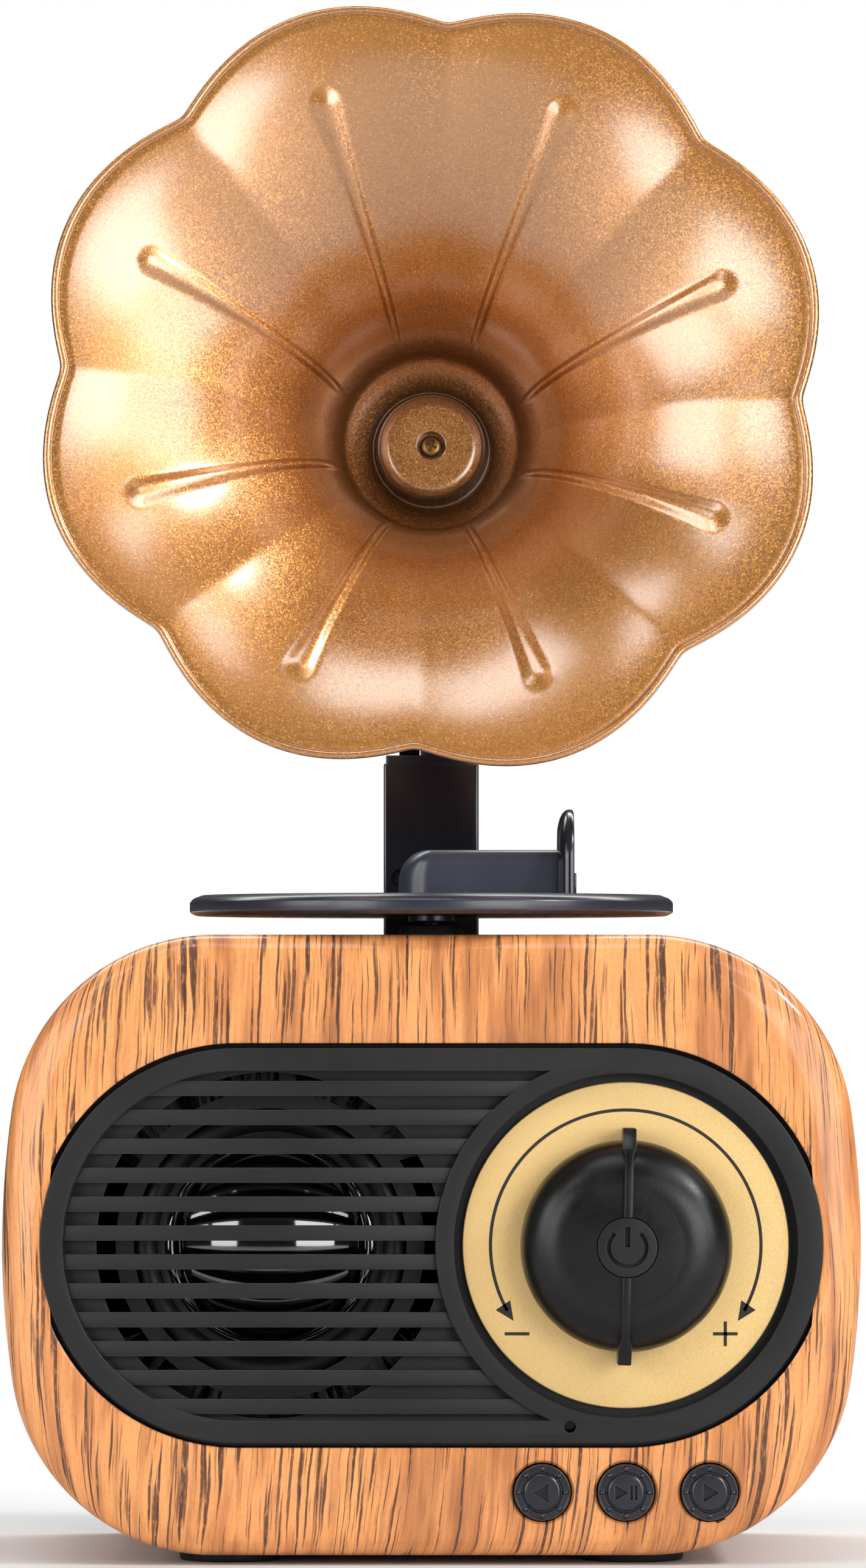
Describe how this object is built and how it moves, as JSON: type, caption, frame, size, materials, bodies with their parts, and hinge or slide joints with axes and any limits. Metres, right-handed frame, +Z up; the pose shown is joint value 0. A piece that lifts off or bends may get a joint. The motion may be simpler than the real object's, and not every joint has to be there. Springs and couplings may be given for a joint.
{
  "type": "horn loudspeaker",
  "caption": "Tabletop loudspeaker styled as an old radio, with a grille, a volume knob, push buttons, a turning disc with an arm, and a petal horn on a tilting neck.",
  "frame": {"origin": "on the surface it stands on, under the middle of its width and of its depth", "axes": "+Z up, the front with the grille and knob faces -Y, +X to the right seen from the front"},
  "size_m": [0.1132, 0.0816, 0.2069],
  "materials": {
    "wood_film": "glossy wood-grain film over moulded plastic",
    "rear_plastic": "fine-textured black plastic",
    "fascia_plastic": "fine-textured black plastic",
    "knob_plastic": "satin rubber-like coating",
    "badge_plastic": "satin black plastic",
    "dial_metal": "satin pale-gold anodised sheet",
    "button_plastic": "satin blue-black plastic",
    "mast_plastic": "glossy black plastic",
    "disc_plastic": "satin black plastic",
    "horn_paint": "bronze-gold metallic paint with fine sparkle",
    "foot_rubber": "soft black rubber",
    "screw_steel": "plated steel",
    "contact_metal": "bright plated steel",
    "circuit_board": "green solder mask",
    "driver_steel": "black painted steel",
    "driver_rubber": "soft black roll",
    "driver_paper": "dark treated paper",
    "driver_cap": "glossy black dome",
    "magnet": "ferrite with plated steel plate",
    "battery_wrap": "shrink wrap",
    "inner_plastic": "plain moulded plastic",
    "lead_insulation": "insulated stranded lead",
    "light_guide": "clear light guide"
  },
  "bodies": {
    "cabinet": {"housing": "wood_film", "back_panel": "rear_plastic", "back_panel_screws": "screw_steel", "feet": "foot_rubber", "fascia": "fascia_plastic", "dial_plate": "dial_metal", "driver_basket": "driver_steel", "driver_surround": "driver_rubber", "driver_cone": "driver_paper", "driver_dust_cap": "driver_cap", "driver_magnet": "magnet", "driver_screws": "screw_steel", "encoder_body": "inner_plastic", "encoder_nut": "contact_metal", "button_board": "circuit_board", "button_switches": "contact_metal", "main_board": "circuit_board", "charge_port": "contact_metal", "audio_jack": "inner_plastic", "card_slot": "contact_metal", "status_light": "light_guide", "microphone": "contact_metal", "battery": "battery_wrap", "battery_cradle": "inner_plastic", "speaker_leads": "lead_insulation", "battery_leads": "lead_insulation", "control_leads": "lead_insulation", "spindle_bush": "mast_plastic", "mast": "mast_plastic", "mast_bracket": "contact_metal", "mast_screws": "screw_steel", "bracket_screws": "screw_steel"},
    "volume_rotor": {"encoder_rotor": "inner_plastic"},
    "volume_knob": {"knob": "knob_plastic", "knob_badge": "badge_plastic", "encoder_shaft": "contact_metal"},
    "button_previous": {"button_previous": "button_plastic"},
    "button_play": {"button_play": "button_plastic"},
    "button_next": {"button_next": "button_plastic"},
    "turntable": {"spindle": "contact_metal", "spindle_clip": "screw_steel", "turntable_disc": "disc_plastic", "tone_arm": "disc_plastic", "tone_arm_head": "disc_plastic"},
    "horn_head": {"hinge_pin": "contact_metal", "neck": "mast_plastic", "horn": "horn_paint", "horn_screw": "screw_steel"}
  },
  "joints": [
    {"name": "knob_turn", "type": "hinge", "parent": "cabinet", "child": "volume_rotor", "pos_m": [0.02555, -0.03125, 0.04212], "axis": [0, -1, 0], "continuous": true},
    {"name": "knob_press", "type": "slide", "parent": "volume_rotor", "child": "volume_knob", "axis": [0, 1, 0], "range_m": [0, 0.0006], "stiffness_N_per_m": 4000},
    {"name": "button_previous_press", "type": "slide", "parent": "cabinet", "child": "button_previous", "axis": [0, 1, 0], "range_m": [0, 0.0006], "stiffness_N_per_m": 2000},
    {"name": "button_play_press", "type": "slide", "parent": "cabinet", "child": "button_play", "axis": [0, 1, 0], "range_m": [0, 0.0006], "stiffness_N_per_m": 2000},
    {"name": "button_next_press", "type": "slide", "parent": "cabinet", "child": "button_next", "axis": [0, 1, 0], "range_m": [0, 0.0006], "stiffness_N_per_m": 2000},
    {"name": "disc_turn", "type": "hinge", "parent": "cabinet", "child": "turntable", "pos_m": [0, -0.00125, 0.086], "axis": [0, 0, -1], "continuous": true},
    {"name": "horn_tilt", "type": "hinge", "parent": "cabinet", "child": "horn_head", "pos_m": [0, 0.0355, 0.1113], "axis": [1, 0, 0], "range_deg": [-20, 8]}
  ]
}
